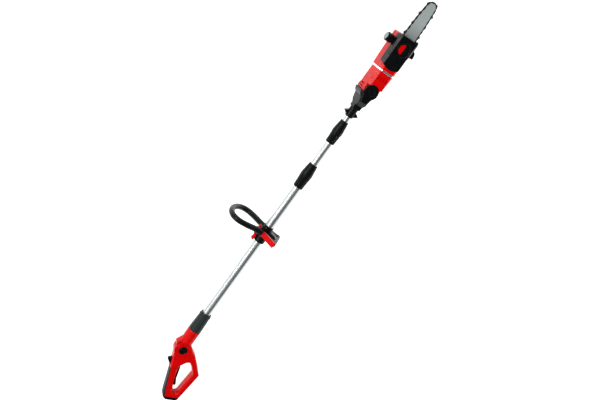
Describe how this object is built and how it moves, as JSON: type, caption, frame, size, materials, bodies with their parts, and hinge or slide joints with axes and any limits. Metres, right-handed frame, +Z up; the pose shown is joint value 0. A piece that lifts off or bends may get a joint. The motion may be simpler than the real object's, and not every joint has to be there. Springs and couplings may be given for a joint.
{
  "type": "telescoping pole saw",
  "caption": "Cordless telescoping pole saw: nested aluminium tubes with twist locks, a D-shaped rear handle, a sliding loop handle and a tilting chainsaw head.",
  "frame": {"origin": "bottom centre of the bounding box, on the plane that the tool lies on", "axes": "+X along the pole towards the saw's tip, +Z up, so the tool lies on its side with the loop handle's arms one above the other and the handle and head rolled 27 degrees about the pole"},
  "size_m": [1.8061, 0.2801, 0.1885],
  "materials": {
    "red": "moulded, fine satin texture",
    "black": "moulded, fine grain",
    "grey": "moulded, dark grey",
    "soft_grip": "soft-touch overmould",
    "aluminium": "drawn and anodised tube",
    "steel": "zinc-plated",
    "bar_steel": "ground steel",
    "chain_steel": "oiled dark steel",
    "silver_trim": "silver trim ring",
    "contact_brass": "sprung contacts"
  },
  "bodies": {
    "pole_lower": {"lower_tube": "aluminium", "lower_lock_housing": "black", "lower_lock_collet": "grey", "neck_collar": "grey", "neck_shell_near": "red", "neck_shell_far": "red", "coiled_lead": "black"},
    "rear_handle": {"handle_shell_near": "red", "handle_shell_far": "red", "grip_overmould": "soft_grip", "battery_shoe": "black", "contact_block": "contact_brass", "switch_module": "grey", "handle_screw_1": "steel", "handle_screw_2": "steel", "pivot_axle": "black"},
    "trigger": {"trigger": "black"},
    "lock_off": {"lock_off_button": "black"},
    "pivot_button": {"pivot_button": "black"},
    "clamp": {"clamp_upper_half": "black", "clamp_lower_half": "black"},
    "latch": {"loop_latch": "red"},
    "loop": {"loop_grip": "black", "clamp_bolt": "steel", "clamp_nut": "steel", "lever_pin": "steel"},
    "lever": {"clamp_lever": "red"},
    "lower_nut": {"lower_lock_nut": "black"},
    "pole_middle": {"middle_tube": "aluminium", "middle_tube_guide": "black", "upper_lock_housing": "black", "upper_lock_collet": "grey"},
    "upper_nut": {"upper_lock_nut": "black"},
    "pole_upper": {"upper_tube": "aluminium", "upper_tube_guide": "black", "head_knuckle": "black", "knuckle_bridge": "grey", "hinge_pin": "steel", "head_lead": "black"},
    "tilt_button": {"tilt_lock_button": "black"},
    "head": {"motor_housing_near": "red", "motor_housing_far": "red", "silver_band": "silver_trim", "gear_housing": "red", "motor_can": "steel", "guide_bar": "bar_steel", "saw_chain": "chain_steel", "bar_stud": "steel", "sprocket_cover": "black", "oil_tank": "grey", "branch_hook": "black", "bumper_spikes": "black"},
    "rotor": {"motor_pinion": "steel"},
    "spindle": {"sprocket_spindle": "steel", "crown_gear": "steel", "drive_sprocket": "steel"},
    "knob": {"cover_knob": "black", "knob_insert": "red"},
    "flap": {"knob_flap": "black"},
    "oil_cap": {"oil_cap": "black"}
  },
  "joints": [
    {"name": "handle_tilt", "type": "hinge", "parent": "pole_lower", "child": "rear_handle", "pos_m": [-0.6742, -0.02167, 0.09289], "axis": [0, 0.454, -0.891], "range_deg": [0, 30]},
    {"name": "trigger_pull", "type": "hinge", "parent": "rear_handle", "child": "trigger", "pos_m": [-0.7462, -0.04484, 0.08108], "axis": [0, 0.454, -0.891], "range_deg": [0, 5], "stiffness_Nm_per_rad": 1.5, "springref_deg": -11.46},
    {"name": "lock_off_press", "type": "slide", "parent": "rear_handle", "child": "lock_off", "axis": [0, -0.891, -0.454], "range_m": [0, 0.004], "stiffness_N_per_m": 300, "springref_m": -0.004},
    {"name": "pivot_button_press", "type": "slide", "parent": "rear_handle", "child": "pivot_button", "axis": [0, 0.454, -0.891], "range_m": [0, 0.004], "stiffness_N_per_m": 400, "springref_m": -0.004},
    {"name": "loop_slide", "type": "slide", "parent": "pole_lower", "child": "clamp", "axis": [1, 0, 0], "range_m": [-0.34, 0.17]},
    {"name": "latch_push", "type": "slide", "parent": "clamp", "child": "latch", "axis": [1, 0, 0], "range_m": [0, 0.004], "stiffness_N_per_m": 300, "springref_m": -0.004},
    {"name": "loop_tilt", "type": "hinge", "parent": "clamp", "child": "loop", "pos_m": [-0.1062, -0.069, 0.09425], "axis": [0, 0, 1], "range_deg": [-20, 20]},
    {"name": "lever_open", "type": "hinge", "parent": "loop", "child": "lever", "pos_m": [-0.1062, -0.069, 0.15375], "axis": [0.9751, -0.2215, 0], "range_deg": [0, 90]},
    {"name": "lower_lock_twist", "type": "hinge", "parent": "pole_lower", "child": "lower_nut", "pos_m": [0.1338, -0.019, 0.09425], "axis": [1, 0, 0], "range_deg": [0, 60]},
    {"name": "lower_slide", "type": "slide", "parent": "pole_lower", "child": "pole_middle", "axis": [1, 0, 0], "range_m": [-0.09, 0.38]},
    {"name": "upper_lock_twist", "type": "hinge", "parent": "pole_middle", "child": "upper_nut", "pos_m": [0.3288, -0.019, 0.09425], "axis": [1, 0, 0], "range_deg": [0, 60]},
    {"name": "upper_slide", "type": "slide", "parent": "pole_middle", "child": "pole_upper", "axis": [1, 0, 0], "range_m": [-0.015, 0.4]},
    {"name": "head_tilt", "type": "hinge", "parent": "pole_upper", "child": "head", "pos_m": [0.5378, -0.019, 0.09425], "axis": [0, -0.454, 0.891], "range_deg": [-60, 30]},
    {"name": "tilt_button_press", "type": "slide", "parent": "pole_upper", "child": "tilt_button", "axis": [0, 0.454, -0.891], "range_m": [0, 0.0025], "stiffness_N_per_m": 400, "springref_m": -0.004},
    {"name": "spindle_spin", "type": "hinge", "parent": "head", "child": "spindle", "pos_m": [0.6778, -0.03124, 0.11607], "axis": [0, -0.454, 0.891], "continuous": true},
    {"name": "motor_spin", "type": "hinge", "parent": "head", "child": "rotor", "pos_m": [0.6578, -0.01535, 0.08489], "axis": [1, 0, 0], "continuous": true},
    {"name": "knob_turn", "type": "hinge", "parent": "head", "child": "knob", "pos_m": [0.7168, -0.03987, 0.133], "axis": [0, -0.454, 0.891], "continuous": true},
    {"name": "flap_lift", "type": "hinge", "parent": "knob", "child": "flap", "pos_m": [0.7168, -0.04221, 0.1354], "axis": [-1, 0, 0], "range_deg": [0, 85]},
    {"name": "oil_cap_turn", "type": "hinge", "parent": "head", "child": "oil_cap", "pos_m": [0.7238, 0.02646, 0.11517], "axis": [0, 0.891, 0.454], "continuous": true}
  ],
  "couplings": [
    {"joint": "motor_spin", "follows": "spindle_spin", "ratio": 2.5}
  ]
}
